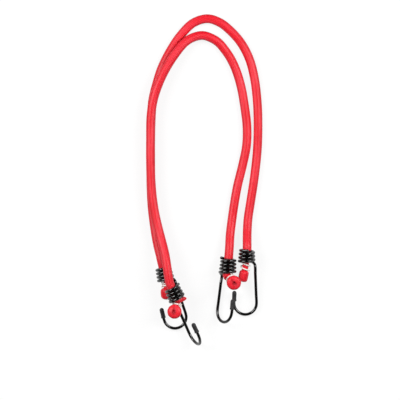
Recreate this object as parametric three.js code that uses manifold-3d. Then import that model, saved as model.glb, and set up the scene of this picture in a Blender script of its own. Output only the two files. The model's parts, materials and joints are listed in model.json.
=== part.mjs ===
// A pair of elastic cords with wire hooks, laid on the floor as two arches, one partly over the other.
// Millimetres, +Z up. The origin is on the floor, in the middle of the pair's footprint.
import * as THREE from "three";
import { mergeVertices } from "three/addons/utils/BufferGeometryUtils.js";
import Module from "manifold-3d";

const wasm = await Module();
wasm.setup();

// Cord: a braided sheath over a bundle of rubber strands. Where it lies on the floor it is pressed flat.
const CORD_DIAMETER = 8;
const SHEATH_WALL = 1.1;
const CORE_CLEARANCE = 0.35;
const PRESSED_DEPTH = 0.8;
const CORD_SIDES = 10;
const BORE_SIDES = 8;
const CORD_STEP = 10;
const SPLIT_GAP = 0.3;
const LOWER_STRETCH_LENGTH = 110;
const UPPER_STRETCH_LENGTH = 120;

// Hook: one coated wire, wound round the cord as a widening coil, then a shank, a round bend and a short leg.
const WIRE_DIAMETER = 2.7;
const WIRE_SIDES = 6;
const WIRE_STEP = 3.6;
const COIL_TURN_GAP = 0.55;
const COIL_CLEARANCE = 0.6;
const COIL_FLARE = 1;
const COIL_POINTS_PER_TURN = 12;
const LEAD_ANGLE = Math.PI / 3;
const LEAD_RISE = 2.6;
const LEAD_SPREAD = 0.8;
const LEAD_EASE = 2.2;
const LEAD_POINTS = 3;
const BEND_DISTANCE = 43.8;
const SHANK_POINTS = 3;
const BEND_RADIUS = 10.2;
const BEND_POINTS = 10;
const BARE_LEG_LENGTH = 1.7;

// Tip cap: a soft sleeve with a round closed end, pushed over the wire.
const CAP_WALL = 0.35;
const CAP_LENGTH = 9.5;
const CAP_END_WALL = 1.2;
const CAP_CLEARANCE = 0.3;
const CAP_SIDES = 8;
const CAP_ROUND_STEPS = 3;

// Cord end: it swells in the coil's mouth, is drawn in by the crimp ring and flares out behind it.
const MOUTH_CLEARANCE = 1;
const SWELL_LENGTH = 0.6;
const NECK_DIAMETER = 5.8;
const NECK_BEND_SLACK = 0.4;
const STEM_BEND_SLACK = 0.9;
const BULB_STEPS = 6;
const BULB_END_WALL = 1;
const PIT_DIAMETER = 2.6;
const PIT_DEPTH = 1.4;
const LEAN_STEPS = 8;
const FOLD_PEAK = 0.5;
const FOLD_SPREAD = 0.5;
const TILT_STEPS = 3;

// Crimp ring: bright wire wound round the neck.
const RING_WIRE_DIAMETER = 1.3;
const RING_WIRE_SIDES = 5;
const RING_WIRE_STEP = 2.6;
const RING_CLEARANCE = 0.4;
const RING_POINTS_PER_TURN = 12;

// Places along a wound wire where its gap to itself is measured, and how near ones are left out.
const GAP_SAMPLES = 600;
const GAP_APART_DIAMETERS = 4;

const SHEATH_FINISH = { color: 0xf63c4a, roughness: 0.75, metalness: 0 };
const CORE_FINISH = { color: 0xe2d2b0, roughness: 0.9, metalness: 0 };
const WIRE_FINISH = { color: 0x161517, roughness: 0.35, metalness: 0.1 };
const CAP_FINISH = { color: 0x2b2a2c, roughness: 0.7, metalness: 0 };
const RING_FINISH = { color: 0xe6dfd6, roughness: 0.3, metalness: 0.9 };

// How finely curves are measured, and how near two points are one.
const ARC_DIVISIONS_PER_POINT = 20;
const SAME_POINT = 1e-4;

// Centre lines from the left coil to the right coil. The last two points at each end lie on the coil's axis.
// Each point is X, Y and its rise, in cord diameters, above a cord that lies on the floor.
const LOWER_ROUTE = [
  [-36.75, -82.1, 0.89], [-38.6, -74.4, 1.03], [-40.3, -66.9, 0.9], [-42.2, -59.4, 0.6],
  [-44.1, -49.4, 0.25], [-45.8, -38.2, 0.06], [-47.4, -24.5, 0], [-48.4, -7.5, 0],
  [-48.7, 13.7, 0], [-48.7, 36.4, 0], [-48.2, 56.5, 0], [-46.9, 72.9, 0],
  [-43.4, 87.6, 0], [-38.7, 102.2, 0], [-30.6, 118.4, 0], [-20.7, 132.9, 0],
  [-9.8, 143.4, 0], [3.0, 147.2, 0], [14.3, 143.6, 0], [23.9, 136.1, 0],
  [33.4, 125.2, 0], [40.8, 111.1, 0], [45.3, 94.7, 0], [48.1, 72.8, 0],
  [48.9, 51.0, 0], [48.2, 27.3, 0], [45.4, 1.9, 0], [41.9, -21.0, 0],
  [39.9, -33.9, 0.06], [39.1, -44.8, 0.31], [38.9, -53.0, 0.7], [38.9, -60.3, 1.03],
  [38.65, -68.3, 0.89],
];
const UPPER_ROUTE = [
  [-27.95, -100.2, 2.25], [-31.3, -93.05, 2.41], [-32.7, -85.3, 2.46], [-33.9, -77.3, 2.36],
  [-35.6, -67.0, 2.02], [-38.4, -55.8, 1.58], [-41.3, -45.0, 1.28], [-44.6, -30.9, 1.1],
  [-46.7, -18.2, 1.05], [-48.2, -1.8, 1.05], [-48.8, 16.4, 1.05], [-48.8, 36.4, 1.05],
  [-48.4, 58.3, 1.05], [-46.3, 72.7, 1.05], [-41.7, 87.1, 1.05], [-34.9, 101.5, 0.99],
  [-26.8, 114.3, 0.84], [-17.8, 125.2, 0.65], [-10.2, 130.0, 0.46], [-1.6, 131.9, 0.26],
  [6.3, 129.6, 0.13], [13.0, 125.4, 0.04], [19.1, 118.3, 0], [24.4, 110.2, 0],
  [29.0, 100.1, 0], [33.4, 85.6, 0], [36.8, 66.5, 0], [38.8, 49.2, 0],
  [38.4, 31.9, 0], [35.0, 14.6, 0], [30.1, -5.4, 0], [27.2, -21.8, 0],
  [25.1, -36.4, 0.08], [23.5, -49.5, 0.38], [22.95, -59.0, 0.73], [22.4, -66.7, 0.88],
  [21.8, -74.7, 0.88],
];

// How each end lies. Distances are along the coil's axis from its frame, and turns about it are in degrees.
// The cord's end starts to lean at a distance from the coil's mouth, towards leanTurn, and bulges by fold on
// the outside of that turn. The ring starts at ringTurn from the lean, and its turns lie ringGap apart.
// Behind the ring the end tilts, towards tiltTurn from the lean, and it ends in a bulb.
const ENDS = {
  lower_left: {
    coilTurns: 3.6, coilEnd: 8.8, hookTurn: 0, leanFrom: -1.6, lean: 8, leanTurn: 190, fold: 0, tilt: 0,
    tiltTurn: 0, ringTurns: 2, ringTurn: 0, ringGap: 0.45,
    bulbDiameter: 12.2, bulbLength: 10.9, bulbRoundness: 3.2,
  },
  lower_right: {
    coilTurns: 3.55, coilEnd: 6.1, hookTurn: 0, leanFrom: -3.4, lean: 10, leanTurn: 190, fold: 0, tilt: 0,
    tiltTurn: 0, ringTurns: 1.5, ringTurn: 350, ringGap: 2.9,
    bulbDiameter: 8.8, bulbLength: 10.1, bulbRoundness: 5,
  },
  upper_left: {
    coilTurns: 3.5, coilEnd: 7.8, hookTurn: 250, leanFrom: -1.8, lean: 33, leanTurn: 174, fold: 4.2, tilt: 94,
    tiltTurn: -71, ringTurns: 1.5, ringTurn: 0, ringGap: 0.45,
    bulbDiameter: 13.2, bulbLength: 8, bulbRoundness: 2.6,
  },
  upper_right: {
    coilTurns: 3.9, coilEnd: 8.9, hookTurn: 230, leanFrom: -1.9, lean: 55, leanTurn: 48, fold: 0, tilt: 42,
    tiltTurn: 57, ringTurns: 2, ringTurn: 0, ringGap: 0.45,
    bulbDiameter: 13.2, bulbLength: 8, bulbRoundness: 3.2,
  },
};

const cordRadius = CORD_DIAMETER / 2;
const boreRadius = cordRadius - SHEATH_WALL;
const coreRadius = boreRadius - CORE_CLEARANCE;
const lyingHeight = cordRadius - PRESSED_DEPTH;
const wireRadius = WIRE_DIAMETER / 2;
const coilRadius = cordRadius + COIL_CLEARANCE + wireRadius;
const coilPitch = WIRE_DIAMETER + COIL_TURN_GAP;
const tipEnd = BEND_DISTANCE - BARE_LEG_LENGTH - CAP_LENGTH;
const capBore = wireRadius + CAP_CLEARANCE;
const swellRadius = coilRadius - wireRadius + COIL_FLARE - MOUTH_CLEARANCE;
const neckBendRadius = swellRadius + NECK_BEND_SLACK;
const stemBendRadius = NECK_DIAMETER / 2 + STEM_BEND_SLACK;
const ringRadius = NECK_DIAMETER / 2 + RING_CLEARANCE + RING_WIRE_DIAMETER / 2;

// Part of a longer curve, from one distance along it to another.
class Stretch extends THREE.Curve {
  constructor(whole, from, to) {
    super();
    this.whole = whole;
    this.from = from;
    this.to = to;
  }

  getPoint(t, target = new THREE.Vector3()) {
    const distance = this.from + (this.to - this.from) * t;
    return this.whole.getPointAt(distance / this.whole.getLength(), target);
  }
}

function polygon(radius, sides) {
  const corners = [];
  for (let side = 0; side < sides; side++) {
    const angle = (2 * Math.PI * (side + 0.5)) / sides;
    corners.push(new THREE.Vector2(radius * Math.cos(angle), radius * Math.sin(angle)));
  }
  return corners;
}

function tube(curve, section, stepLength) {
  const steps = Math.ceil(curve.getLength() / stepLength);
  return new THREE.ExtrudeGeometry(section, { steps, bevelEnabled: false, extrudePath: curve });
}

function smoothCurve(points) {
  const curve = new THREE.CatmullRomCurve3(points, false, "centripetal");
  curve.arcLengthDivisions = ARC_DIVISIONS_PER_POINT * points.length;
  return curve;
}

function toSolid(geometry) {
  const bare = geometry.clone();
  bare.deleteAttribute("normal");
  bare.deleteAttribute("uv");
  const merged = mergeVertices(bare, SAME_POINT);
  const vertProperties = new Float32Array(merged.attributes.position.array);
  const triVerts = new Uint32Array(merged.index.array);
  return new wasm.Manifold(new wasm.Mesh({ numProp: 3, vertProperties, triVerts }));
}

function toGeometry(solid) {
  const mesh = solid.getMesh();
  const geometry = new THREE.BufferGeometry();
  geometry.setAttribute("position", new THREE.BufferAttribute(mesh.vertProperties, 3));
  geometry.setIndex(new THREE.BufferAttribute(mesh.triVerts, 1));
  return geometry;
}

// Cuts away what would lie below the floor, which leaves the cord's flat underside.
function pressedFlat(geometry) {
  geometry.computeBoundingBox();
  const size = geometry.boundingBox.getSize(new THREE.Vector3()).addScalar(CORD_DIAMETER);
  const middle = geometry.boundingBox.getCenter(new THREE.Vector3());
  const below = new THREE.BoxGeometry(size.x, size.y, CORD_DIAMETER);
  below.translate(middle.x, middle.y, -cordRadius);
  return toGeometry(toSolid(geometry).subtract(toSolid(below)));
}

function sheathLength(curve) {
  const section = new THREE.Shape(polygon(cordRadius, CORD_SIDES));
  section.holes.push(new THREE.Path(polygon(boreRadius, BORE_SIDES)));
  return pressedFlat(tube(curve, section, CORD_STEP));
}

function coreLength(curve) {
  return tube(curve, new THREE.Shape(polygon(coreRadius, BORE_SIDES)), CORD_STEP);
}

// The hook's wire in the coil's own frame: the cord runs out along +Z, the shank is at +X and the tip at -X.
function hookPath({ coilTurns, coilEnd }) {
  const coilPoint = (turn) => {
    const angle = 2 * Math.PI * (turn - coilTurns) - LEAD_ANGLE;
    const radius = coilRadius + (COIL_FLARE * turn) / coilTurns;
    const along = coilEnd + coilPitch * (turn - coilTurns);
    return new THREE.Vector3(radius * Math.cos(angle), radius * Math.sin(angle), along);
  };
  const wireEnd = coilPoint(0);
  const endDirection = coilPoint(1 / GAP_SAMPLES).sub(wireEnd).normalize();
  const points = [wireEnd.clone().addScaledVector(endDirection, -WIRE_DIAMETER)];
  const coilSteps = Math.round(coilTurns * COIL_POINTS_PER_TURN);
  for (let step = 0; step <= coilSteps; step++) {
    points.push(coilPoint((coilTurns * step) / coilSteps));
  }
  const wideRadius = coilRadius + COIL_FLARE;
  for (let step = 1; step <= LEAD_POINTS; step++) {
    const share = step / LEAD_POINTS;
    const angle = -LEAD_ANGLE * (1 - share);
    const radius = wideRadius + LEAD_SPREAD * share ** LEAD_EASE;
    const rise = coilEnd + LEAD_RISE * share ** LEAD_EASE;
    points.push(new THREE.Vector3(radius * Math.cos(angle), radius * Math.sin(angle), rise));
  }
  const shankStart = points.at(-1);
  const bendStart = new THREE.Vector3(BEND_RADIUS, 0, BEND_DISTANCE);
  for (let step = 1; step <= SHANK_POINTS; step++) {
    const share = step / (SHANK_POINTS + 1);
    points.push(shankStart.clone().lerp(bendStart, share));
  }
  for (let step = 0; step <= BEND_POINTS; step++) {
    const angle = (Math.PI * step) / BEND_POINTS;
    const along = BEND_DISTANCE + BEND_RADIUS * Math.sin(angle);
    points.push(new THREE.Vector3(BEND_RADIUS * Math.cos(angle), 0, along));
  }
  const wireTip = tipEnd + CAP_END_WALL + CAP_CLEARANCE;
  points.push(new THREE.Vector3(-BEND_RADIUS, 0, (BEND_DISTANCE + wireTip) / 2));
  points.push(new THREE.Vector3(-BEND_RADIUS, 0, wireTip));
  return smoothCurve(points);
}

// Least gap between two places on a round tube that lie some diameters apart along it.
function leastGap(curve, diameter) {
  const points = curve.getSpacedPoints(GAP_SAMPLES);
  const apart = Math.ceil((GAP_APART_DIAMETERS * diameter * GAP_SAMPLES) / curve.getLength());
  let least = Infinity;
  for (let first = 0; first < points.length; first++) {
    for (let second = first + apart; second < points.length; second++) {
      least = Math.min(least, points[first].distanceTo(points[second]));
    }
  }
  return least - diameter;
}

// Carries a point of a straight end over to one that turns: past the start, its axis goes round a circle by
// the angle and then on straight, towards the direction that lies at the turn from +X.
function bent(point, start, radius, angle, turn) {
  const past = point.z - start;
  if (past <= 0) return point;
  const across = point.x * Math.cos(turn) + point.y * Math.sin(turn);
  const level = point.y * Math.cos(turn) - point.x * Math.sin(turn);
  const along = Math.min(past / radius, angle);
  const straight = past - radius * along;
  const reach = radius * (1 - Math.cos(along)) + straight * Math.sin(along) + across * Math.cos(along);
  const outwards = radius * Math.sin(along) + (straight * Math.cos(along) - across * Math.sin(along));
  const x = reach * Math.cos(turn) - level * Math.sin(turn);
  const y = reach * Math.sin(turn) + level * Math.cos(turn);
  return new THREE.Vector3(x, y, start + outwards);
}

// Distances along the cord's end and the angles of its two turns, in radians.
function endShape(end) {
  const { lean, fold, tilt, ringTurns, bulbDiameter, bulbLength, bulbRoundness } = end;
  const leanAngle = THREE.MathUtils.degToRad(lean);
  const tiltAngle = THREE.MathUtils.degToRad(tilt);
  const tiltTurn = THREE.MathUtils.degToRad(end.tiltTurn);
  const ringTurn = THREE.MathUtils.degToRad(end.ringTurn);
  const ringPitch = RING_WIRE_DIAMETER + end.ringGap;
  const grooveLength = ringTurns * ringPitch + RING_WIRE_DIAMETER + 2 * RING_CLEARANCE;
  const start = end.coilEnd + wireRadius + end.leanFrom;
  const turnLength = neckBendRadius * leanAngle;
  const turnMarks = [];
  for (let step = 0; step <= LEAN_STEPS; step++) {
    turnMarks.push(start + (turnLength * step) / LEAN_STEPS);
  }
  const neckStart = start + turnLength + SWELL_LENGTH;
  const neckEnd = neckStart + grooveLength;
  const stemMarks = [neckEnd];
  for (let step = 1; tilt > 0 && step <= TILT_STEPS; step++) {
    stemMarks.push(neckEnd + (stemBendRadius * tiltAngle * step) / TILT_STEPS);
  }
  const bulbStart = stemMarks.at(-1);
  const bulbEnd = bulbStart + bulbLength;
  const boreEnd = bulbEnd - PIT_DEPTH - BULB_END_WALL;
  return {
    start, leanAngle, tiltAngle, tiltTurn, turnMarks, neckStart, neckEnd, stemMarks, bulbStart, bulbEnd,
    boreEnd, fold, ringTurns, ringTurn, ringPitch, bulbRadius: bulbDiameter / 2, bulbLength, bulbRoundness,
  };
}

function carried(point, shape) {
  const tilted = bent(point, shape.neckEnd, stemBendRadius, shape.tiltAngle, shape.tiltTurn);
  return bent(tilted, shape.start, neckBendRadius, shape.leanAngle, 0);
}

// A turned shape about the cord's axis, from a list of radius, distance and fold, carried over to the end's
// turns. The fold draws the side away from the lean outwards.
function turnedEnd(profile, sides, shape) {
  const outline = profile.map(([radius, distance]) => new THREE.Vector2(radius, distance));
  const geometry = new THREE.LatheGeometry(outline, sides).rotateX(Math.PI / 2);
  const position = geometry.attributes.position;
  for (let index = 0; index < position.count; index++) {
    const point = new THREE.Vector3().fromBufferAttribute(position, index);
    const [radius, , fold = 0] = profile[index % profile.length];
    if (fold > 0 && point.x < 0) point.x -= fold * (point.x / radius) ** 2;
    const place = carried(point, shape);
    position.setXYZ(index, place.x, place.y, place.z);
  }
  return geometry;
}

function endSheath(shape) {
  const { turnMarks, neckStart, stemMarks, bulbStart, bulbEnd, boreEnd, bulbLength, bulbRoundness } = shape;
  const neckRadius = NECK_DIAMETER / 2;
  const neckBore = neckRadius - SHEATH_WALL;
  const bulb = [];
  for (let step = 1; step < BULB_STEPS; step++) {
    const across = Math.cos((Math.PI * step) / BULB_STEPS);
    const size = (1 - Math.abs(across) ** bulbRoundness) ** (1 / bulbRoundness);
    bulb.push([shape.bulbRadius * size, bulbStart + (bulbLength * (1 - across)) / 2]);
  }
  const folded = (share) => shape.fold * Math.max(0, 1 - Math.abs(share - FOLD_PEAK) / FOLD_SPREAD);
  const swell = turnMarks.map((mark, step) => [swellRadius, mark, folded(step / LEAN_STEPS)]);
  const outside = [
    [cordRadius, SPLIT_GAP], [cordRadius, turnMarks[0] - WIRE_DIAMETER], ...swell,
    [neckRadius, neckStart], ...stemMarks.map((mark) => [neckRadius, mark]),
    ...bulb, [PIT_DIAMETER / 2, bulbEnd], [0, bulbEnd - PIT_DEPTH],
  ];
  const inside = [
    [0, boreEnd], [boreRadius, boreEnd], [boreRadius, (bulbStart + boreEnd) / 2],
    ...stemMarks.toReversed().map((mark) => [neckBore, mark]), [neckBore, neckStart],
    ...turnMarks.toReversed().map((mark) => [boreRadius, mark]), [boreRadius, SPLIT_GAP],
  ];
  return turnedEnd([...inside, ...outside], CORD_SIDES, shape);
}

function endCore(shape) {
  const { turnMarks, neckStart, stemMarks, bulbStart, boreEnd } = shape;
  const neckCore = NECK_DIAMETER / 2 - SHEATH_WALL - CORE_CLEARANCE;
  const coreEnd = boreEnd - CORE_CLEARANCE;
  const outline = [
    [0, SPLIT_GAP], [coreRadius, SPLIT_GAP], ...turnMarks.map((mark) => [coreRadius, mark]),
    [neckCore, neckStart], ...stemMarks.map((mark) => [neckCore, mark]),
    [coreRadius, (bulbStart + boreEnd) / 2], [coreRadius, coreEnd], [0, coreEnd],
  ];
  return turnedEnd(outline, CORD_SIDES, shape);
}

function ringPath(shape) {
  const { ringTurns, ringTurn, ringPitch } = shape;
  const middle = (shape.neckStart + shape.neckEnd) / 2;
  const ringPoint = (turn) => {
    const angle = ringTurn - 2 * Math.PI * turn;
    const along = middle + ringPitch * (turn - ringTurns / 2);
    return new THREE.Vector3(ringRadius * Math.cos(angle), ringRadius * Math.sin(angle), along);
  };
  const wound = [];
  const steps = Math.round(ringTurns * RING_POINTS_PER_TURN);
  for (let step = 0; step <= steps; step++) {
    wound.push(ringPoint((ringTurns * step) / steps));
  }
  const straightEnd = (end, next) => end.clone().sub(next).setLength(RING_WIRE_DIAMETER).add(end);
  wound.unshift(straightEnd(wound[0], wound[1]));
  wound.push(straightEnd(wound.at(-1), wound.at(-2)));
  return smoothCurve(wound.map((point) => carried(point, shape)));
}

function tipCap() {
  const radius = capBore + CAP_WALL;
  const outline = [[0, CAP_END_WALL], [capBore, CAP_END_WALL], [capBore, CAP_LENGTH], [radius, CAP_LENGTH]];
  for (let step = 0; step < CAP_ROUND_STEPS; step++) {
    const angle = (Math.PI * step) / (2 * CAP_ROUND_STEPS);
    outline.push([radius * Math.cos(angle), radius * (1 - Math.sin(angle))]);
  }
  outline.push([0, 0]);
  const profile = outline.reverse().map(([across, along]) => new THREE.Vector2(across, along));
  return new THREE.LatheGeometry(profile, CAP_SIDES).rotateX(Math.PI / 2).translate(-BEND_RADIUS, 0, tipEnd);
}

function piece(name, geometry, finish) {
  const mesh = new THREE.Mesh(geometry, new THREE.MeshStandardMaterial(finish));
  mesh.name = name;
  return mesh;
}

// A coil's frame: its axis runs out of the cord, its X is level to the right of it and its Y points up.
function coilFrame(place, direction) {
  const level = new THREE.Vector3(0, 0, 1).cross(direction).normalize();
  const up = direction.clone().cross(level);
  const frame = new THREE.Group();
  frame.position.copy(place);
  frame.quaternion.setFromRotationMatrix(new THREE.Matrix4().makeBasis(level, up, direction));
  return frame;
}

function turned(degrees, ...pieces) {
  const group = new THREE.Group();
  group.rotation.z = THREE.MathUtils.degToRad(degrees);
  group.add(...pieces);
  return group;
}

function cordEnd(name, place, direction) {
  const end = ENDS[name];
  const shape = endShape(end);
  const wire = hookPath(end);
  const ring = ringPath(shape);
  const wireGap = leastGap(wire, WIRE_DIAMETER).toFixed(2);
  const ringGap = leastGap(ring, RING_WIRE_DIAMETER).toFixed(2);
  console.log(`${name}: least gap of the hook's wire to itself ${wireGap} mm, of the ring's ${ringGap} mm`);
  const wireSection = new THREE.Shape(polygon(wireRadius, WIRE_SIDES));
  const ringSection = new THREE.Shape(polygon(RING_WIRE_DIAMETER / 2, RING_WIRE_SIDES));
  const frame = coilFrame(place, direction);
  frame.add(
    turned(
      end.hookTurn,
      piece(`${name}_hook`, tube(wire, wireSection, WIRE_STEP), WIRE_FINISH),
      piece(`${name}_tip_cap`, tipCap(), CAP_FINISH),
    ),
    turned(
      end.leanTurn,
      piece(`${name}_end_sheath`, endSheath(shape), SHEATH_FINISH),
      piece(`${name}_end_core`, endCore(shape), CORE_FINISH),
      piece(`${name}_crimp_ring`, tube(ring, ringSection, RING_WIRE_STEP), RING_FINISH),
    ),
  );
  return frame;
}

// One cord: the arch that keeps its length, the leg that stretches and the two ends with their hooks.
function cord(name, route, stretchLength, stretchSide) {
  const place = ([x, y, rise]) => new THREE.Vector3(x, y, lyingHeight + rise * CORD_DIAMETER);
  const line = smoothCurve(route.map(place));
  const length = line.getLength();
  const onLeft = stretchSide === "left";
  const archStart = onLeft ? stretchLength + SPLIT_GAP : 0;
  const arch = new Stretch(line, archStart, onLeft ? length : length - stretchLength);
  const legStart = onLeft ? 0 : length - stretchLength + SPLIT_GAP;
  const leg = new Stretch(line, legStart, onLeft ? stretchLength : length);
  console.log(`${name} cord: ${length.toFixed(1)} mm between the coils`);
  const group = new THREE.Group();
  group.add(
    piece(`${name}_arch_sheath`, sheathLength(arch), SHEATH_FINISH),
    piece(`${name}_arch_core`, coreLength(arch), CORE_FINISH),
    piece(`${name}_leg_sheath`, sheathLength(leg), SHEATH_FINISH),
    piece(`${name}_leg_core`, coreLength(leg), CORE_FINISH),
    cordEnd(`${name}_left`, line.getPointAt(0), line.getTangentAt(0).negate()),
    cordEnd(`${name}_right`, line.getPointAt(1), line.getTangentAt(1)),
  );
  return group;
}

const pair = new THREE.Group();
pair.add(cord("lower", LOWER_ROUTE, LOWER_STRETCH_LENGTH, "right"));
pair.add(cord("upper", UPPER_ROUTE, UPPER_STRETCH_LENGTH, "left"));

export default pair;
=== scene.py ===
# Pair of elastic tie-down cords with wire hooks, laid as two arches and seen from straight above. Metres.
import json

import bpy
import numpy as np
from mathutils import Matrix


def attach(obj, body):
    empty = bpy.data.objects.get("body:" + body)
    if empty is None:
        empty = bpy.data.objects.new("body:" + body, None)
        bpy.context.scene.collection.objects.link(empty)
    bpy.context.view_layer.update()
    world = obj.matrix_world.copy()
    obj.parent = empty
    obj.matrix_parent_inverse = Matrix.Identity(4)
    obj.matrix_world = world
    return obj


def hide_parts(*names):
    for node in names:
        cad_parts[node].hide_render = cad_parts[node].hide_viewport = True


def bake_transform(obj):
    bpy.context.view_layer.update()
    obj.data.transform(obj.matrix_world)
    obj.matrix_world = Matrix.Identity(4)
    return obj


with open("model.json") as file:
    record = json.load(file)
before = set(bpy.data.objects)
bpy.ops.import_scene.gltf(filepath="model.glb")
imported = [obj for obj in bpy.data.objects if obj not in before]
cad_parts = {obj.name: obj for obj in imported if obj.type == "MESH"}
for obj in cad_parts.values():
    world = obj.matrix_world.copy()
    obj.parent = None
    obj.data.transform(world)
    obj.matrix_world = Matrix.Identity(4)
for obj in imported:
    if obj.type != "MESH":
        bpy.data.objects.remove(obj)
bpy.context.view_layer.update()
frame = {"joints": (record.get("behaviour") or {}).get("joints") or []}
joints = {joint["name"]: joint for joint in frame["joints"]}

# camera: straight above, far off with a long lens, so the pair is seen almost without perspective
cameraView = {"aim": (-0.00387, -0.0177), "height": 5.0, "floorWidth": 0.364, "sensor": 36.0}

cameraData = bpy.data.cameras.new("camera")
cameraData.sensor_width = cameraView["sensor"]
cameraData.lens = cameraView["sensor"] * cameraView["height"] / cameraView["floorWidth"]
camera = bpy.data.objects.new("camera", cameraData)
camera.location = (*cameraView["aim"], cameraView["height"])
bpy.context.scene.collection.objects.link(camera)
bpy.context.scene.camera = camera
bpy.context.scene.view_settings.view_transform = "Standard"
print("camera: lens", round(cameraData.lens, 1), "mm")

mmPerMetre = 1000.0  # also the noise scale of a feature one millimetre wide
poleRadius = 0.0002  # a turned profile stops this far from its axis, and a fan of triangles closes it
made = []  # every piece with the name of its material slot


def unit(vectors):
    return vectors / np.linalg.norm(vectors, axis=-1, keepdims=True)


def eased(values):  # smooth step from 0 to 1
    share = np.clip(values, 0, 1)
    return share * share * (3 - 2 * share)


def travelled(line):  # distance along the line from its first point to each point
    return np.concatenate([[0], np.cumsum(np.linalg.norm(np.diff(line, axis=0), axis=1))])


def pointsAt(line, marks):  # points of the line at these distances along it
    distance = travelled(line)
    return np.stack([np.interp(marks, distance, axis) for axis in line.T], axis=-1)


# smooth line through the points: centripetal Catmull-Rom, a cubic for each span between two points whose
# slopes come from the square roots of the three nearest distances
def smoothLine(points, perSpan=40):
    ends = np.vstack([2 * points[0] - points[1], points, 2 * points[-1] - points[-2]])
    before, start, stop, after = ends[:-3], ends[1:-2], ends[2:-1], ends[3:]
    knot = [np.sqrt(np.linalg.norm(b - a, axis=1))[:, None] for a, b in
            ((before, start), (start, stop), (stop, after))]
    leave = (start - before) / knot[0] - (stop - before) / (knot[0] + knot[1]) + (stop - start) / knot[1]
    arrive = (stop - start) / knot[1] - (after - start) / (knot[1] + knot[2]) + (after - stop) / knot[2]
    leave, arrive = leave * knot[1], arrive * knot[1]
    share = np.linspace(0, 1, perSpan, endpoint=False)[:, None, None]
    line = start + leave * share + (3 * (stop - start) - 2 * leave - arrive) * share ** 2
    line = line + (2 * (start - stop) + leave + arrive) * share ** 3
    return np.vstack([line.transpose(1, 0, 2).reshape(-1, points.shape[1]), points[-1:]])


# ring round each point of the line: point + radius * (cos turn * across + sin turn * over)
def sweptGrid(line, marks, reference, radius, sides):
    forward = unit(np.gradient(line, marks, axis=0))
    across = unit(reference - np.sum(reference * forward, axis=1, keepdims=True) * forward)
    over = np.cross(forward, across)
    turn = np.arange(sides) * 2 * np.pi / sides
    ring = np.cos(turn)[None, :, None] * across[:, None] + np.sin(turn)[None, :, None] * over[:, None]
    return line[:, None] + np.broadcast_to(radius, (len(line), sides))[:, :, None] * ring


# closed skin over a grid of rings, with a fan of triangles at each end, turned so that its volume is positive
def skinPiece(name, grid, slotName, **attributes):
    rings, sides = grid.shape[:2]
    points = np.concatenate([grid.reshape(-1, 3), grid[[0, -1]].mean(axis=1)])
    ring, side = np.meshgrid(np.arange(rings - 1) * sides, np.arange(sides), indexing="ij")
    after = (side + 1) % sides
    quads = np.stack([ring + side, ring + after, ring + sides + after, ring + sides + side], axis=-1)
    quads = quads.reshape(-1, 4)
    rim, rimAfter, last = side[0], after[0], (rings - 1) * sides
    startFan = np.stack([rimAfter, rim, np.full(sides, rings * sides)], axis=-1)
    endFan = np.stack([last + rim, last + rimAfter, np.full(sides, rings * sides + 1)], axis=-1)
    corner = points[quads] - points.mean(axis=0)
    volume = np.sum(np.cross(corner[:, 0], corner[:, 1]) * corner[:, 2])
    volume += np.sum(np.cross(corner[:, 0], corner[:, 2]) * corner[:, 3])
    step = 1 if volume > 0 else -1
    faces = quads[:, ::step].tolist() + startFan[:, ::step].tolist() + endFan[:, ::step].tolist()
    mesh = bpy.data.meshes.new(name)
    mesh.from_pydata(points.tolist(), [], faces)
    mesh.polygons.foreach_set("use_smooth", np.ones(len(faces), dtype=bool))
    for label, values in attributes.items():
        filled = np.concatenate([values.reshape(-1), values[[0, -1]].mean(axis=1)])
        mesh.attributes.new(label, "FLOAT", "POINT").data.foreach_set("value", filled)
    piece = bpy.data.objects.new(name, mesh)
    bpy.context.scene.collection.objects.link(piece)
    made.append((piece, slotName))
    return piece


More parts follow.
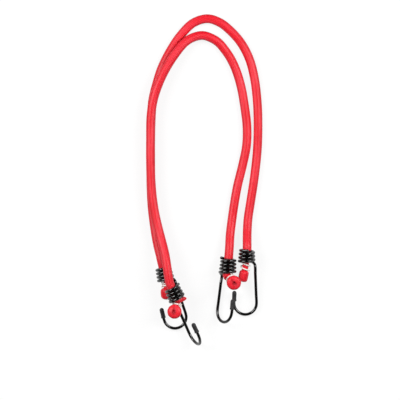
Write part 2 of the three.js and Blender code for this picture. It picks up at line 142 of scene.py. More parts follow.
# cords: a braided sheath on rubber strands, each in an arch and one leg that stretches
# route: x, y in metres and the rise of the middle over a cord on the floor, in cord diameters
cordRoutes = {
    "lower": [
        (-0.03675, -0.0821, 0.89), (-0.0386, -0.0744, 1.03), (-0.0403, -0.0669, 0.9), (-0.0422, -0.0594, 0.6),
        (-0.0441, -0.0494, 0.25), (-0.0458, -0.0382, 0.06), (-0.0474, -0.0245, 0), (-0.0484, -0.0075, 0),
        (-0.0487, 0.0137, 0), (-0.0487, 0.0364, 0), (-0.0482, 0.0565, 0), (-0.0469, 0.0729, 0),
        (-0.0434, 0.0876, 0), (-0.0387, 0.1022, 0), (-0.0306, 0.1184, 0), (-0.0207, 0.1329, 0),
        (-0.0098, 0.1434, 0), (0.003, 0.1472, 0), (0.0143, 0.1436, 0), (0.0239, 0.1361, 0),
        (0.0334, 0.1252, 0), (0.0408, 0.1111, 0), (0.0453, 0.0947, 0), (0.0481, 0.0728, 0),
        (0.0489, 0.051, 0), (0.0482, 0.0273, 0), (0.0454, 0.0019, 0), (0.0419, -0.021, 0),
        (0.0399, -0.0339, 0.06), (0.0391, -0.0448, 0.31), (0.0389, -0.053, 0.7), (0.0389, -0.0603, 1.03),
        (0.03865, -0.0683, 0.89),
    ],
    "upper": [
        (-0.02795, -0.1002, 2.25), (-0.0313, -0.09305, 2.41), (-0.0327, -0.0853, 2.46),
        (-0.0339, -0.0773, 2.36), (-0.0356, -0.067, 2.02), (-0.0384, -0.0558, 1.58), (-0.0413, -0.045, 1.28),
        (-0.0446, -0.0309, 1.1), (-0.0467, -0.0182, 1.05), (-0.0482, -0.0018, 1.05), (-0.0488, 0.0164, 1.05),
        (-0.0488, 0.0364, 1.05), (-0.0484, 0.0583, 1.05), (-0.0463, 0.0727, 1.05), (-0.0417, 0.0871, 1.05),
        (-0.0349, 0.1015, 0.99), (-0.0268, 0.1143, 0.84), (-0.0178, 0.1252, 0.65), (-0.0102, 0.13, 0.46),
        (-0.0016, 0.1319, 0.26), (0.0063, 0.1296, 0.13), (0.013, 0.1254, 0.04), (0.0191, 0.1183, 0),
        (0.0244, 0.1102, 0), (0.029, 0.1001, 0), (0.0334, 0.0856, 0), (0.0368, 0.0665, 0),
        (0.0388, 0.0492, 0), (0.0384, 0.0319, 0), (0.035, 0.0146, 0), (0.0301, -0.0054, 0),
        (0.0272, -0.0218, 0), (0.0251, -0.0364, 0.08), (0.0235, -0.0495, 0.38), (0.02295, -0.059, 0.73),
        (0.0224, -0.0667, 0.88), (0.0218, -0.0747, 0.88),
    ],
}
cordMake = {
    "radius": 0.004, "crown": 0.0001, "pressed": 0.0008, "sides": 80, "ringStep": 0.00037, "pathStep": 8,
    "columns": 16, "stitch": 0.00175, "slant": 0.9, "stitchDepth": 0.0002,
    # how round ribs and yarns are and the ribs' share of the relief; phases of the paler streaks, in radians
    "ribPower": 0.7, "yarnPower": 0.6, "ribShare": 0.4,
    "streakStep": 2.4, "streakSway": 2, "streakWave": 70, "streakShift": 1.7,
    "coreRadius": 0.00255, "strands": 9, "strandDepth": 0.00018, "coreSides": 36, "coreStep": 0.0012,
    "shadeEdge": 0.0012, "flankShade": 0.24, "flankStart": 0.55,
}
# how far the coils reach over the start and the end of each cord
coilCover = {"lower": (0.0029, 0.0054), "upper": (0.0036, 0.0038)}
# legs: how long, which end of the route, and the body that the stretch pulls
cordLegs = {
    "lower": {"length": 0.110, "atStart": False, "pulled": "lower_right_end"},
    "upper": {"length": 0.120, "atStart": True, "pulled": "upper_left_end"},
}


# braid: columns round the cord, each a rib of slanted stitches, leaning to the left and to the right by turns
def braid(turn, along):
    make = cordMake
    column = turn * make["columns"]
    number = np.floor(column)
    across = column % 1
    hand = np.where(number % 2 > 0.5, 1, -1)
    stitch = along / make["stitch"] + hand * across * make["slant"]
    rib = np.sin(np.pi * across) ** make["ribPower"]
    yarn = np.abs(np.sin(np.pi * stitch)) ** make["yarnPower"]
    height = rib * (make["ribShare"] + (1 - make["ribShare"]) * yarn)
    sway = make["streakSway"] * np.sin(along * make["streakWave"] + number * make["streakShift"])
    tone = 0.5 + 0.5 * np.sin(number * make["streakStep"] + sway)
    return height, tone


# tube along the line between two distances: radius less the depth that the surface sinks, flat on the floor
def cordTube(name, line, start, stop, slotName, step, sides, radius, sink, cover):
    marks = np.linspace(start, stop, int(round((stop - start) / step)) + 1)
    centre = pointsAt(line, marks)
    turn, along = np.meshgrid(np.arange(sides) / sides, marks)
    depth, extra = sink(turn, along, cover)
    forward = np.gradient(centre, marks, axis=0)
    grid = sweptGrid(centre, marks, np.cross(forward, (0, 0, 1)), radius - depth, sides)
    grid[:, :, 2] = np.maximum(grid[:, :, 2], 0)
    return skinPiece(name, grid, slotName, **extra), centre


# shade: painted shade on the sheath, dark under the coils and a little on the flanks and underneath
def sheathSink(turn, along, cover):
    height, tone = braid(turn, along)
    under = np.maximum(cover[0] - along, along - cover[1]) / cordMake["shadeEdge"]
    # painted shade on the flanks and underneath, where less light falls
    flank = cordMake["flankShade"] * eased(np.sin(2 * np.pi * turn) / cordMake["flankStart"] + 1)
    shade = np.maximum(eased(under + 0.5), flank)
    return (1 - height) * cordMake["stitchDepth"], {"height": height, "tone": tone, "shade": shade}


def coreSink(turn, along, cover=None):  # strands that lie side by side round the core
    return cordMake["strandDepth"] * (1 - np.abs(np.sin(np.pi * turn * cordMake["strands"]))), {}


for cordName, route in cordRoutes.items():
    route = np.array(route)
    route[:, 2] = cordMake["radius"] - cordMake["pressed"] + route[:, 2] * 2 * cordMake["radius"]
    line = smoothLine(route)
    whole = travelled(line)[-1]
    leg = cordLegs[cordName]
    split = leg["length"] if leg["atStart"] else whole - leg["length"]
    names = ("leg", "arch") if leg["atStart"] else ("arch", "leg")
    spans = dict(zip(names, ((0, split), (split, whole))))
    cover = (coilCover[cordName][0], whole - coilCover[cordName][1])
    for part, (start, stop) in spans.items():
        node = cordName + "_" + part
        sheath, path = cordTube(node + "_braid", line, start, stop, "sheath", cordMake["ringStep"],
                                cordMake["sides"], cordMake["radius"] + cordMake["crown"], sheathSink, cover)
        core = cordTube(node + "_strands", line, start, stop, "core", cordMake["coreStep"],
                        cordMake["coreSides"], cordMake["coreRadius"], coreSink, cover)[0]
        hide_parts(node + "_sheath")
        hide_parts(node + "_core")
        for piece in (sheath, core):
            if part == "arch":
                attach(piece, cordName + "_cord")
                continue
            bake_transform(piece)
    print("cord", cordName, round(whole * mmPerMetre, 1), "mm between its coils")

# ends of the cords: the coil and its hook, the lean and upward tilt of the tied end, its ring and its tuft;
# lengths in metres, turns of wire counted, the other angles in degrees, all in the coil's own frame
ends = {
    "lower_left": {
        "body": "lower_cord", "coilTurns": 3.6, "coilEnd": 0.0088, "hookTurn": 0,
        "leanFrom": -0.0016, "lean": 8, "leanTurn": 190, "fold": 0.0, "tilt": 0, "tiltTurn": 0,
        "ringTurns": 2, "ringTurn": 0, "ringGap": 0.00045,
        "bulb": 0.0122, "bulbLength": 0.0109, "roundness": 3.2,
    },
    "lower_right": {
        "body": "lower_right_end", "coilTurns": 3.55, "coilEnd": 0.0061, "hookTurn": 0,
        "leanFrom": -0.0034, "lean": 10, "leanTurn": 190, "fold": 0.0, "tilt": 0, "tiltTurn": 0,
        "ringTurns": 1.5, "ringTurn": 350, "ringGap": 0.0029,
        "bulb": 0.0088, "bulbLength": 0.0101, "roundness": 5,
    },
    "upper_left": {
        "body": "upper_left_end", "coilTurns": 3.5, "coilEnd": 0.0078, "hookTurn": 250,
        "leanFrom": -0.0018, "lean": 33, "leanTurn": 174, "fold": 0.0042, "tilt": 94, "tiltTurn": -71,
        "ringTurns": 1.5, "ringTurn": 0, "ringGap": 0.00045,
        "bulb": 0.0132, "bulbLength": 0.008, "roundness": 2.6,
    },
    "upper_right": {
        "body": "upper_cord", "coilTurns": 3.9, "coilEnd": 0.0089, "hookTurn": 230,
        "leanFrom": -0.0019, "lean": 55, "leanTurn": 48, "fold": 0.0, "tilt": 42, "tiltTurn": 57,
        "ringTurns": 2, "ringTurn": 0, "ringGap": 0.00045,
        "bulb": 0.0132, "bulbLength": 0.008, "roundness": 3.2,
    },
}
wireEnd = {"rings": 6, "flat": 0.35}  # rings over a wire's rounded cut, and the share of its radius left flat


# from the coil's frame to the floor's: turned about the coil's axis, then level, up and out from the joint
def placed(points, endName, degrees):
    joint = joints[endName + "_swivel"]
    outward = unit(np.array(joint["axis"]))
    level = unit(np.cross((0, 0, 1), outward))
    up = np.cross(outward, level)
    angle = np.radians(degrees)
    x = points[..., 0] * np.cos(angle) - points[..., 1] * np.sin(angle)
    y = points[..., 0] * np.sin(angle) + points[..., 1] * np.cos(angle)
    z = points[..., 2]
    return np.array(joint["pos_m"]) + x[..., None] * level + y[..., None] * up + z[..., None] * outward


# marks along a wire, close together at both ends, where its cut is rounded
def wireMarks(length, step, rounding):
    edge = rounding * (1 - np.cos(np.linspace(0, np.pi / 2, wireEnd["rings"])))
    between = np.linspace(rounding, length - rounding, int(length / step))[1:-1]
    return np.concatenate([edge, between, length - edge[::-1]])


def roundedWire(marks, radius, rounding):  # radius along a wire that ends in quarter rounds
    depth = np.clip(np.minimum(marks, marks[-1] - marks) / rounding, 0, 1)
    return radius * (wireEnd["flat"] + (1 - wireEnd["flat"]) * np.sqrt(1 - (1 - depth) ** 2))


# hooks: one wire each, wound round the cord, then a shank and a half circle
hookMake = {
    "wireRadius": 0.00135, "pitch": 0.00325, "coilRadius": 0.00595, "flare": 0.001, "pointsPerTurn": 12,
    "leadAngle": np.pi / 3, "leadRise": 0.0026, "leadSpread": 0.0008, "leadEase": 2.2, "leadPoints": 3,
    "shankSpans": 4, "bendDistance": 0.0438, "bendRadius": 0.0102, "bendPoints": 11, "tipLeg": 0.0097,
    "sides": 20, "step": 0.00045, "endRound": 0.0006,
}


# hook wire: helix that widens towards the shank, a lead that eases out of it, the shank and half a circle
def hookPath(end):
    make = hookMake
    turn = np.linspace(0, end["coilTurns"], round(make["pointsPerTurn"] * end["coilTurns"]) + 1)
    angle = 2 * np.pi * (turn - end["coilTurns"]) - make["leadAngle"]
    radius = make["coilRadius"] + make["flare"] * turn / end["coilTurns"]
    along = end["coilEnd"] + make["pitch"] * (turn - end["coilTurns"])
    coil = np.stack([radius * np.cos(angle), radius * np.sin(angle), along], -1)
    cutEnd = coil[:1] - unit(coil[1:2] - coil[:1]) * 2 * make["wireRadius"]
    share = np.arange(1, make["leadPoints"] + 1) / make["leadPoints"]
    angle = -make["leadAngle"] * (1 - share)
    gain = share ** make["leadEase"]
    radius = make["coilRadius"] + make["flare"] + make["leadSpread"] * gain
    rise = end["coilEnd"] + make["leadRise"] * gain
    lead = np.stack([radius * np.cos(angle), radius * np.sin(angle), rise], -1)
    share = (np.arange(1, make["shankSpans"]) / make["shankSpans"])[:, None]
    bendStart = np.array([make["bendRadius"], 0, make["bendDistance"]])
    shank = lead[-1] + (bendStart - lead[-1]) * share
    angle = np.linspace(0, np.pi, make["bendPoints"])
    arc = np.stack([np.cos(angle), 0 * angle, np.sin(angle)], -1)
    bend = arc * make["bendRadius"] + (0, 0, make["bendDistance"])
    tip = [(-make["bendRadius"], 0, make["bendDistance"] - make["tipLeg"] * part) for part in (0.5, 1)]
    return smoothLine(np.vstack([cutEnd, coil, lead, shank, bend, tip]))


for endName, end in ends.items():
    path = hookPath(end)
    marks = wireMarks(travelled(path)[-1], hookMake["step"], hookMake["endRound"])
    centre = pointsAt(path, marks)
    axis = np.stack([0 * marks, 0 * marks, np.minimum(centre[:, 2], hookMake["bendDistance"])], -1)
    radius = roundedWire(marks, hookMake["wireRadius"], hookMake["endRound"])[:, None]
    grid = sweptGrid(centre, marks, centre - axis, radius, hookMake["sides"])
    hook = skinPiece(endName + "_hook_wire", placed(grid, endName, end["hookTurn"]), "hook_wire")
    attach(hook, endName + "_hook")
    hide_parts(endName + "_hook")
print("hooks:", len(ends))

# tip caps: a soft sleeve dipped over the wire's tip, with a rolled mouth and a round end
capMake = {
    "radius": 0.002, "bore": 0.00165, "length": 0.0095, "endWall": 0.0012, "wireGap": 0.0003,
    "nose": ((0.45, 0.1), (0.8, 0.38), (0.97, 0.85), (1, 1.6)),  # radius and height, in shares of the radius
    "waist": 0.985, "waistAt": 0.55,  # shares of the radius and of the length
    "lip": 0.00012, "lipStart": 0.0016, "lipPeak": 0.0008, "lipFall": 0.6, "lipRound": 0.0002,
    "boreRound": 0.0001, "sides": 40, "perSpan": 8,
}


# turned piece: the profile's radius and height carried round the axis
def turnedGrid(profile, sides):
    turn = np.arange(sides) * 2 * np.pi / sides
    radius, height = profile[:, 0, None], profile[:, 1, None] + 0 * turn
    return np.stack([radius * np.cos(turn), radius * np.sin(turn), height], -1)


# cap's profile: out from the nose, up the outside to the lip, and down the bore to its floor
def capProfile(make):
    r = make["radius"]
    nose = hookMake["bendDistance"] - hookMake["tipLeg"] - make["endWall"] - make["wireGap"]
    top = nose + make["length"]
    return np.array([
        (poleRadius, nose),
        *[(r * out, nose + r * up) for out, up in make["nose"]],
        (r * make["waist"], nose + make["length"] * make["waistAt"]),
        (r, top - make["lipStart"]),
        (r + make["lip"], top - make["lipPeak"]),
        (r + make["lip"] * make["lipFall"], top - make["lipRound"]),
        (r - make["lipRound"], top),
        (make["bore"], top - make["boreRound"]),
        (make["bore"], nose + make["endWall"] + make["boreRound"]),
        (poleRadius, nose + make["endWall"]),
    ])


capGrid = turnedGrid(smoothLine(capProfile(capMake), capMake["perSpan"]), capMake["sides"])
capGrid[:, :, 0] -= hookMake["bendRadius"]
for endName, end in ends.items():
    cap = skinPiece(endName + "_tip_sleeve", placed(capGrid, endName, end["hookTurn"]), "tip_cap")
    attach(cap, endName + "_hook")
    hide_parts(endName + "_tip_cap")
print("tip caps:", len(ends))

# tied ends: the sheath swells out of the coil, is tied in a neck and flares into a tuft with a slit in it
tailMake = {
    "start": 0.0003, "startRound": 0.0003, "startEase": 0.0004, "leastRadius": 0.0001,
    "swellRadius": 0.0046, "swellLength": 0.0006, "neckRadius": 0.0029,
    "bendSlack": 0.0004, "stemSlack": 0.0009, "foldPeak": 0.5, "foldSpread": 0.55,
    "tuftFrom": 0.1, "tuftTo": 0.93, "tuftPoints": 9, "tuftBraid": 0.5,
    "pleats": 9, "pleatDepth": 0.00016, "pleatSway": 0.15, "pleatWaves": 3, "pleatShade": 0.25,
    "pitRadius": 0.0012, "pitRim": 0.0001, "pitDepth": 0.0016, "pitTaper": (0.7, 0.6), "pitShade": 0.22,
    "slitStretch": 0.8, "closing": 0.0016,
    "creaseDepth": 0.001, "creaseWidth": 0.00028, "creaseEase": 0.002, "creaseReach": 0.45, "creaseShade": 0.9,
    "endWall": 0.0015, "coreNeck": 0.00145, "coreEase": 0.002, "coreRings": 90,
    "sides": 80, "step": 0.00028, "perSpan": 30,
}
ringMake = {
    "wireRadius": 0.00065, "clearance": 0.0004, "points": 33, "sides": 16, "step": 0.0003, "endRound": 0.0003,
}
neckBend = tailMake["swellRadius"] + tailMake["bendSlack"]
stemBend = tailMake["neckRadius"] + tailMake["stemSlack"]


# bent: past the start the axis goes round a circle by the angle, then on straight, in the turn's direction
def bent(points, start, radius, angle, turn):
    past = points[..., 2] - start
    across = points[..., 0] * np.cos(turn) + points[..., 1] * np.sin(turn)
    level = points[..., 1] * np.cos(turn) - points[..., 0] * np.sin(turn)
    gone = np.clip(past / radius, 0, angle)
    straight = past - radius * gone
    reach = radius * (1 - np.cos(gone)) + straight * np.sin(gone) + across * np.cos(gone)
    outward = radius * np.sin(gone) + straight * np.cos(gone) - across * np.sin(gone)
    x = reach * np.cos(turn) - level * np.sin(turn)
    y = reach * np.sin(turn) + level * np.cos(turn)
    return np.stack([x, y, start + outward], -1)


# where the end leans, is tied, tilts upwards and flares, as distances along it
def tailMarks(end):
    marks = {"lean": np.radians(end["lean"]), "tilt": np.radians(end["tilt"])}
    marks["tiltTurn"] = np.radians(end["tiltTurn"])
    marks["leanStart"] = end["coilEnd"] + hookMake["wireRadius"] + end["leanFrom"]
    marks["leanEnd"] = marks["leanStart"] + neckBend * marks["lean"]
    marks["neckStart"] = marks["leanEnd"] + tailMake["swellLength"]
    marks["ringPitch"] = 2 * ringMake["wireRadius"] + end["ringGap"]
    groove = end["ringTurns"] * marks["ringPitch"] + 2 * ringMake["wireRadius"] + 2 * ringMake["clearance"]
    marks["neckEnd"] = marks["neckStart"] + groove
    marks["bulbStart"] = marks["neckEnd"] + stemBend * marks["tilt"]
    marks["bulbEnd"] = marks["bulbStart"] + end["bulbLength"]
    return marks


def carried(points, marks):  # from the straight end to the one with both turns
    tilted = bent(points, marks["neckEnd"], stemBend, marks["tilt"], marks["tiltTurn"])
    return bent(tilted, marks["leanStart"], neckBend, marks["lean"], 0)


# turned end: a radius and a distance for each point, carried round the axis
def turnedEnd(radius, distance, turn):
    radius = np.maximum(radius, tailMake["leastRadius"])
    angle = 2 * np.pi * turn
    return np.stack([radius * np.cos(angle), radius * np.sin(angle), distance + 0 * turn], -1)


# sheath's profile: out of the coil, round the swell and the neck, over the tuft and into the pit in its end;
# the tuft is a superellipse, radius (1 - |c|^n)^(1/n) against its length
def tailProfile(end, at):
    make = tailMake
    cordOut = cordMake["radius"] + cordMake["crown"]
    c = -np.cos(np.linspace(make["tuftFrom"], make["tuftTo"], make["tuftPoints"]) * np.pi)
    bulge = (1 - np.abs(c) ** end["roundness"]) ** (1 / end["roundness"])
    tuft = np.stack([end["bulb"] / 2 * bulge, at["bulbStart"] + end["bulbLength"] * (1 + c) / 2], -1)
    places = (0, 0.5, 1)  # start, middle and end
    swellSpan = at["leanEnd"] - at["leanStart"]
    swell = [(make["swellRadius"], at["leanStart"] + swellSpan * part) for part in places]
    neckSpan = at["bulbStart"] - at["neckStart"]
    neck = [(make["neckRadius"], at["neckStart"] + neckSpan * part) for part in places]
    inward, deep = make["pitTaper"]
    return np.vstack([
        [(poleRadius, make["start"]), (cordOut - make["startRound"], make["start"]),
         (cordOut, make["start"] + make["startEase"]),
         (cordOut, at["leanStart"] - 2 * hookMake["wireRadius"])],
        swell, neck, tuft,
        [(make["pitRadius"], at["bulbEnd"] - make["pitRim"]),
         (make["pitRadius"] * inward, at["bulbEnd"] - make["pitDepth"] * deep),
         (poleRadius, at["bulbEnd"] - make["pitDepth"])],
    ])


for endName, end in ends.items():
    make = tailMake
    at = tailMarks(end)
    fine = smoothLine(tailProfile(end, at), make["perSpan"])
    marks = np.linspace(0, travelled(fine)[-1], int(travelled(fine)[-1] / make["step"]))
    fine = pointsAt(fine, marks)
    out, distance = fine[:, :1], fine[:, 1:]
    turn, along = np.meshgrid(np.arange(make["sides"]) / make["sides"], marks)
    height, tone = braid(turn, along)
    shown = np.clip((out - make["pitRadius"]) / make["closing"], 0, 1)  # the braid closes up at the slit
    flared = eased((distance - at["neckEnd"]) / end["bulbLength"])
    height = 1 - (1 - height) * (1 - (1 - make["tuftBraid"]) * flared)
    sway = make["pleatSway"] * np.sin(2 * np.pi * make["pleatWaves"] * turn)
    furrow = flared ** 2 * (1 - np.abs(np.sin(np.pi * (turn * make["pleats"] + sway))))
    sink = (1 - height) * cordMake["stitchDepth"] * shown + furrow * shown * make["pleatDepth"]
    # crease: from the slit towards the ring, over the end face
    aside = (turn - at["tiltTurn"] / (2 * np.pi) + 0.5) % 1 - 0.5
    nearEnd = eased((distance - at["bulbEnd"]) / make["creaseEase"] + 1)
    onFace = nearEnd * eased((end["bulb"] * make["creaseReach"] - out) / make["creaseEase"])
    crease = onFace * np.exp(-(aside * out / make["creaseWidth"]) ** 2)
    sink = sink + make["creaseDepth"] * crease * shown
    inSlit = (1 - shown) * (distance > at["bulbStart"])
    widened = 1 + make["slitStretch"] * np.cos(2 * np.pi * turn - at["tiltTurn"]) ** 2 * inSlit
    grid = turnedEnd((out - sink) * widened, distance, turn)
    # fold: the side away from the lean bulges out where the cord turns
    share = (distance - at["leanStart"]) / (neckBend * at["lean"])
    bulge = eased(1 - np.abs(share - make["foldPeak"]) / make["foldSpread"])
    grid[:, :, 0] -= end["fold"] * bulge * np.minimum(grid[:, :, 0] / make["swellRadius"], 0) ** 2
    # colour: painted shade under the coil, and in the slit, its crease and the pleats
    underCoil = eased((end["coilEnd"] - distance) / cordMake["shadeEdge"] + 0.5) + 0 * turn
    height = height * shown * (1 - make["pleatShade"] * furrow) * (1 - make["creaseShade"] * crease)
    shade = np.maximum(underCoil, make["pitShade"] * np.maximum(crease, inSlit))
    sheath = skinPiece(endName + "_end_braid", placed(carried(grid, at), endName, end["leanTurn"]), "sheath",
                       height=height, tone=tone, shade=shade)
    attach(sheath, end["body"])
    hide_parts(endName + "_end_sheath")

    # core: as thick as in the cord, narrow in the neck, and closed short of the pit
    boreEnd = at["bulbEnd"] - make["pitDepth"] - make["endWall"]
    coreOut = cordMake["coreRadius"]
    profile = np.array([
        (poleRadius, make["start"]), (coreOut, make["start"]), (coreOut, at["leanStart"]),
        (coreOut, at["leanEnd"]), (make["coreNeck"], at["neckStart"]), (make["coreNeck"], at["bulbStart"]),
        (coreOut, at["bulbStart"] + make["coreEase"]), (coreOut, boreEnd), (poleRadius, boreEnd),
    ])
    fine = pointsAt(profile, np.linspace(0, travelled(profile)[-1], make["coreRings"]))
    turn, along = np.meshgrid(np.arange(cordMake["coreSides"]) / cordMake["coreSides"], fine[:, 1])
    grid = turnedEnd(fine[:, :1] - coreSink(turn, along)[0], fine[:, 1:], turn)
    core = skinPiece(endName + "_end_strands", placed(carried(grid, at), endName, end["leanTurn"]), "core")
    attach(core, end["body"])
    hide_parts(endName + "_end_core")

    # crimp ring: a turn or two of bright wire closed round the neck
    make = ringMake
    ringRadius = tailMake["neckRadius"] + make["clearance"] + make["wireRadius"]
    middle = (at["neckStart"] + at["neckEnd"]) / 2
    turns = np.linspace(0, end["ringTurns"], make["points"])
    angle = np.radians(end["ringTurn"]) - 2 * np.pi * turns
    ring = np.stack([ringRadius * np.cos(angle), ringRadius * np.sin(angle),
                     middle + at["ringPitch"] * (turns - end["ringTurns"] / 2)], -1)
    tail = 2 * make["wireRadius"]
    first = ring[:1] - unit(ring[1:2] - ring[:1]) * tail
    last = ring[-1:] + unit(ring[-1:] - ring[-2:-1]) * tail
    path = smoothLine(np.vstack([first, ring, last]))
    axis = carried(path * (0, 0, 1), at)
    path = carried(path, at)
    marks = wireMarks(travelled(path)[-1], make["step"], make["endRound"])
    centre = pointsAt(path, marks)
    outward = centre - np.stack([np.interp(marks, travelled(path), part) for part in axis.T], -1)
    radius = roundedWire(marks, make["wireRadius"], make["endRound"])[:, None]
    grid = sweptGrid(centre, marks, outward, radius, make["sides"])
    ring = skinPiece(endName + "_crimp_wire", placed(grid, endName, end["leanTurn"]), "crimp_ring")
    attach(ring, end["body"])
    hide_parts(endName + "_crimp_ring")
print("tied ends:", len(ends))


def linear(hexColour):  # sRGB hex to linear light
    srgb = np.array([int(hexColour[i:i + 2], 16) for i in (1, 3, 5)]) / 255
    light = np.where(srgb <= 0.04045, srgb / 12.92, ((srgb + 0.055) / 1.055) ** 2.4)
    return (*light.tolist(), 1.0)


# one node with its settings (input names or numbers, or properties) and the outputs that feed its inputs
# a Mix node's inputs are numbered: 0 the factor, 2 and 3 its two values, 6 and 7 its two colours
def addNode(tree, kind, settings=None, links=None):
    node = tree.nodes.new(kind)
    for name, value in (settings or {}).items():
        if isinstance(name, int) or name in node.inputs:
            node.inputs[name].default_value = value
        else:
            setattr(node, name, value)
    for name, source in (links or {}).items():
        tree.links.new(source, node.inputs[name])
    return node


def newMaterial(name):
    material = bpy.data.materials.new(name)
    material.use_nodes = True
    material.node_tree.nodes.clear()
    return material, material.node_tree


# in each finish, sizes of patterns are in millimetres and bump heights in metres

# braided polyester: satin yarns, red on their crowns, with painted shade in a deeper red between the stitches
# and paler streaks, and painted shade under the coils, on the flanks and underneath; the fibres are drawn
# coarser than real ones, so that they show
sheathLook = {
    "crown": "#F21C2D", "gap": "#BE1020", "yarnLight": "#FF4C5C", "paintedShade": "#1E0408",
    "crownFrom": 0.7, "streak": 0.7, "blotch": 2.2, "fibre": 0.35, "fibreBump": 0.25, "fibreHeight": 0.0001,
    "roughness": 0.4, "gloss": 0.3,
}
sheathMaterial, tree = newMaterial("braided polyester")
height = addNode(tree, "ShaderNodeAttribute", {"attribute_name": "height"})
tone = addNode(tree, "ShaderNodeAttribute", {"attribute_name": "tone"})
shade = addNode(tree, "ShaderNodeAttribute", {"attribute_name": "shade"})
place = addNode(tree, "ShaderNodeTexCoord")
blotch = addNode(tree, "ShaderNodeTexNoise", {"Scale": mmPerMetre / sheathLook["blotch"], "Detail": 2.0},
                 {"Vector": place.outputs["Object"]})
fibre = addNode(tree, "ShaderNodeTexNoise", {"Scale": mmPerMetre / sheathLook["fibre"], "Detail": 1.0},
                {"Vector": place.outputs["Object"]})
depth = addNode(tree, "ShaderNodeMapRange", {"From Max": sheathLook["crownFrom"]},
                {"Value": height.outputs["Fac"]})
# painted shade: lower relief, between stitches and in recesses, turns a deeper red
yarn = addNode(tree, "ShaderNodeMix",
               {"data_type": "RGBA", 6: linear(sheathLook["gap"]), 7: linear(sheathLook["crown"])},
               {0: depth.outputs["Result"]})
vary = addNode(tree, "ShaderNodeMath", {"operation": "MULTIPLY"},
               {0: tone.outputs["Fac"], 1: blotch.outputs["Fac"]})
streak = addNode(tree, "ShaderNodeMath", {"operation": "MULTIPLY", 1: sheathLook["streak"]},
                 {0: vary.outputs[0]})
paler = addNode(tree, "ShaderNodeMix", {"data_type": "RGBA", 7: linear(sheathLook["yarnLight"])},
                {0: streak.outputs[0], 6: yarn.outputs[2]})
# painted shade: the shade attribute mixes in a near-black red
paintedShade = addNode(tree, "ShaderNodeMix", {"data_type": "RGBA", 7: linear(sheathLook["paintedShade"])},
                 {0: shade.outputs["Fac"], 6: paler.outputs[2]})
bump = addNode(tree, "ShaderNodeBump",
               {"Strength": sheathLook["fibreBump"], "Distance": sheathLook["fibreHeight"]},
               {"Height": fibre.outputs["Fac"]})
shader = addNode(tree, "ShaderNodeBsdfPrincipled",
                 {"Roughness": sheathLook["roughness"], "Specular IOR Level": sheathLook["gloss"]},
                 {"Base Color": paintedShade.outputs[2], "Normal": bump.outputs["Normal"]})
addNode(tree, "ShaderNodeOutputMaterial", None, {"Surface": shader.outputs[0]})

# black dip-coated steel wire: smooth gloss with a faint orange-peel that breaks up its highlights
wireLook = {
    "black": "#030303", "worn": "#0C0B0C", "wornFrom": 0.45, "wornTo": 0.8, "patch": 3.5,
    "peel": 0.8, "peelBump": 0.2, "peelHeight": 0.00008, "smoothest": 0.06, "roughest": 0.23, "gloss": 0.8,
}
wireMaterial, tree = newMaterial("black coated steel wire")
place = addNode(tree, "ShaderNodeTexCoord")
peel = addNode(tree, "ShaderNodeTexNoise", {"Scale": mmPerMetre / wireLook["peel"], "Detail": 2.0},
               {"Vector": place.outputs["Object"]})
patch = addNode(tree, "ShaderNodeTexNoise", {"Scale": mmPerMetre / wireLook["patch"], "Detail": 3.0},
                {"Vector": place.outputs["Object"]})
worn = addNode(tree, "ShaderNodeMapRange", {"From Min": wireLook["wornFrom"], "From Max": wireLook["wornTo"]},
               {"Value": patch.outputs["Fac"]})
colour = addNode(tree, "ShaderNodeMix",
                 {"data_type": "RGBA", 6: linear(wireLook["black"]), 7: linear(wireLook["worn"])},
                 {0: worn.outputs[0]})
rough = addNode(tree, "ShaderNodeMapRange",
                {"To Min": wireLook["smoothest"], "To Max": wireLook["roughest"]},
                {"Value": patch.outputs["Fac"]})
bump = addNode(tree, "ShaderNodeBump",
               {"Strength": wireLook["peelBump"], "Distance": wireLook["peelHeight"]},
               {"Height": peel.outputs["Fac"]})
shader = addNode(tree, "ShaderNodeBsdfPrincipled", {"Specular IOR Level": wireLook["gloss"]},
                 {"Base Color": colour.outputs[2], "Roughness": rough.outputs[0],
                  "Normal": bump.outputs["Normal"]})
addNode(tree, "ShaderNodeOutputMaterial", None, {"Surface": shader.outputs[0]})

# dipped vinyl: matt dark grey with a fine pebble, paler where it has rubbed
capLook = {
    "grey": "#171618", "rubbed": "#2D2C2F", "rubbedFrom": 0.4, "rubbedTo": 0.75, "patch": 1.6,
    "pebble": 0.55, "pebbleBump": 0.5, "pebbleHeight": 0.00012, "roughness": 0.62,
}
capMaterial, tree = newMaterial("dipped vinyl")
place = addNode(tree, "ShaderNodeTexCoord")
pebble = addNode(tree, "ShaderNodeTexNoise", {"Scale": mmPerMetre / capLook["pebble"], "Detail": 2.0},
                 {"Vector": place.outputs["Object"]})
patch = addNode(tree, "ShaderNodeTexNoise", {"Scale": mmPerMetre / capLook["patch"], "Detail": 3.0},
                {"Vector": place.outputs["Object"]})
rubbed = addNode(tree, "ShaderNodeMapRange",
                 {"From Min": capLook["rubbedFrom"], "From Max": capLook["rubbedTo"]},
                 {"Value": patch.outputs["Fac"]})
colour = addNode(tree, "ShaderNodeMix",
                 {"data_type": "RGBA", 6: linear(capLook["grey"]), 7: linear(capLook["rubbed"])},
                 {0: rubbed.outputs[0]})
bump = addNode(tree, "ShaderNodeBump",
               {"Strength": capLook["pebbleBump"], "Distance": capLook["pebbleHeight"]},
               {"Height": pebble.outputs["Fac"]})
shader = addNode(tree, "ShaderNodeBsdfPrincipled", {"Roughness": capLook["roughness"]},
                 {"Base Color": colour.outputs[2], "Normal": bump.outputs["Normal"]})
addNode(tree, "ShaderNodeOutputMaterial", None, {"Surface": shader.outputs[0]})

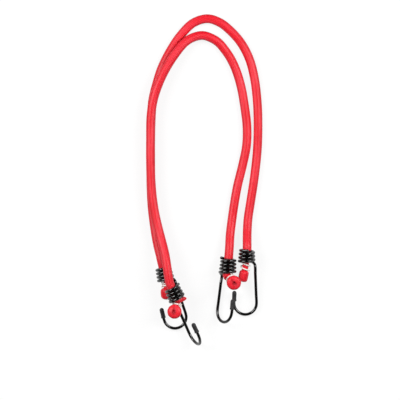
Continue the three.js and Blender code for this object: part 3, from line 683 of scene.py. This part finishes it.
# zinc-plated drawn wire: bright and warm, with a cloudy gloss that is only partly metallic
ringLook = {
    "bright": "#FFFFFF", "cloud": "#FFF0E2", "patch": 1.2, "smoothest": 0.3, "roughest": 0.55, "metal": 0.25,
}
ringMaterial, tree = newMaterial("zinc-plated wire")
place = addNode(tree, "ShaderNodeTexCoord")
patch = addNode(tree, "ShaderNodeTexNoise", {"Scale": mmPerMetre / ringLook["patch"], "Detail": 2.0},
                {"Vector": place.outputs["Object"]})
colour = addNode(tree, "ShaderNodeMix",
                 {"data_type": "RGBA", 6: linear(ringLook["bright"]), 7: linear(ringLook["cloud"])},
                 {0: patch.outputs["Fac"]})
rough = addNode(tree, "ShaderNodeMapRange",
                {"To Min": ringLook["smoothest"], "To Max": ringLook["roughest"]},
                {"Value": patch.outputs["Fac"]})
shader = addNode(tree, "ShaderNodeBsdfPrincipled", {"Metallic": ringLook["metal"]},
                 {"Base Color": colour.outputs[2], "Roughness": rough.outputs[0]})
addNode(tree, "ShaderNodeOutputMaterial", None, {"Surface": shader.outputs[0]})

# natural latex strands: cream, dull and powdered
coreLook = {
    "cream": "#E2D2B0", "powder": "#F0E6CE", "patch": 1.0, "patchBump": 0.2, "patchHeight": 0.0001,
    "roughness": 0.7,
}
coreMaterial, tree = newMaterial("natural latex strands")
place = addNode(tree, "ShaderNodeTexCoord")
patch = addNode(tree, "ShaderNodeTexNoise", {"Scale": mmPerMetre / coreLook["patch"], "Detail": 2.0},
                {"Vector": place.outputs["Object"]})
colour = addNode(tree, "ShaderNodeMix",
                 {"data_type": "RGBA", 6: linear(coreLook["cream"]), 7: linear(coreLook["powder"])},
                 {0: patch.outputs["Fac"]})
bump = addNode(tree, "ShaderNodeBump",
               {"Strength": coreLook["patchBump"], "Distance": coreLook["patchHeight"]},
               {"Height": patch.outputs["Fac"]})
shader = addNode(tree, "ShaderNodeBsdfPrincipled", {"Roughness": coreLook["roughness"]},
                 {"Base Color": colour.outputs[2], "Normal": bump.outputs["Normal"]})
addNode(tree, "ShaderNodeOutputMaterial", None, {"Surface": shader.outputs[0]})

finishes = {
    "sheath": sheathMaterial, "hook_wire": wireMaterial, "tip_cap": capMaterial,
    "crimp_ring": ringMaterial, "core": coreMaterial,
}
for piece, slotName in made:
    piece.data.materials.append(finishes[slotName])
print("materials on", len(made), "pieces")

# floor: paper whose colour and glow together come to white for the camera and in mirrors, and which keeps
# the shadow; other rays meet a darker paper without the glow
floorMake = {"half": 6.0, "drop": 0.0002, "paper": "#707070", "bounce": "#4A4A4A", "glow": 0.85}
half, drop = floorMake["half"], -floorMake["drop"]
corners = [(-half, -half, drop), (half, -half, drop), (half, half, drop), (-half, half, drop)]
mesh = bpy.data.meshes.new("floor")
mesh.from_pydata(corners, [], [(0, 1, 2, 3)])
floor = bpy.data.objects.new("floor", mesh)
bpy.context.scene.collection.objects.link(floor)
floorMaterial, tree = newMaterial("white paper")
path = addNode(tree, "ShaderNodeLightPath")
seen = addNode(tree, "ShaderNodeMath", {"operation": "ADD"},
               {0: path.outputs["Is Camera Ray"], 1: path.outputs["Is Glossy Ray"]})
seen = addNode(tree, "ShaderNodeMath", {"operation": "ADD", "use_clamp": True},
               {0: seen.outputs[0], 1: path.outputs["Is Transmission Ray"]})
colour = addNode(tree, "ShaderNodeMix",
                 {"data_type": "RGBA", 6: linear(floorMake["bounce"]), 7: linear(floorMake["paper"])},
                 {0: seen.outputs[0]})
paper = addNode(tree, "ShaderNodeBsdfDiffuse", None, {"Color": colour.outputs[2]})
strength = addNode(tree, "ShaderNodeMath", {"operation": "MULTIPLY", 1: floorMake["glow"]},
                   {0: seen.outputs[0]})
glow = addNode(tree, "ShaderNodeEmission", {"Color": (1, 1, 1, 1)}, {"Strength": strength.outputs[0]})
shader = addNode(tree, "ShaderNodeAddShader", None, {0: paper.outputs[0], 1: glow.outputs[0]})
addNode(tree, "ShaderNodeOutputMaterial", None, {"Surface": shader.outputs[0]})
mesh.materials.append(floorMaterial)

# surround: white to the camera; mirrored, a white band over the floor under a dim ceiling
surroundMake = {"ambient": 0.12, "bandTop": 0.05, "ceilingFrom": 0.2, "ceiling": 0.02}
world = bpy.data.worlds.new("surround")
world.use_nodes = True
world.node_tree.nodes.clear()
tree = world.node_tree
path = addNode(tree, "ShaderNodeLightPath")
place = addNode(tree, "ShaderNodeTexCoord")
up = addNode(tree, "ShaderNodeSeparateXYZ", None, {0: place.outputs["Generated"]})
band = addNode(tree, "ShaderNodeMapRange",
               {"From Min": surroundMake["bandTop"], "From Max": surroundMake["ceilingFrom"],
                "To Min": 1.0, "To Max": surroundMake["ceiling"]},
               {"Value": up.outputs["Z"]})
mirrored = addNode(tree, "ShaderNodeMath", {"operation": "ADD", "use_clamp": True},
                   {0: path.outputs["Is Glossy Ray"], 1: path.outputs["Is Transmission Ray"]})
strength = addNode(tree, "ShaderNodeMix", {2: surroundMake["ambient"]},
                   {0: mirrored.outputs[0], 3: band.outputs[0]})
strength = addNode(tree, "ShaderNodeMix", {3: 1.0},
                   {0: path.outputs["Is Camera Ray"], 2: strength.outputs[0]})
sky = addNode(tree, "ShaderNodeBackground", {"Color": (1, 1, 1, 1)}, {"Strength": strength.outputs[0]})
addNode(tree, "ShaderNodeOutputWorld", None, {"Surface": sky.outputs[0]})
bpy.context.scene.world = world

# lamps: a broad soft panel high at each side, turned to the middle of the pair
lampMake = {"aside": 0.95, "beyond": 0.35, "height": 1.05, "size": (0.62, 0.95), "power": 16.4}
lampSides = {"left panel": -1, "right panel": 1}
for name, side in lampSides.items():
    light = bpy.data.lights.new(name, "AREA")
    light.shape = "RECTANGLE"
    light.size, light.size_y = lampMake["size"]
    light.energy = lampMake["power"]
    holder = bpy.data.objects.new(name, light)
    holder.location = (side * lampMake["aside"], lampMake["beyond"], lampMake["height"])
    holder.rotation_euler = (-holder.location).to_track_quat("-Z", "Y").to_euler()
    holder.visible_camera = False
    bpy.context.scene.collection.objects.link(holder)
print("floor, surround and", len(lampSides), "lamps")
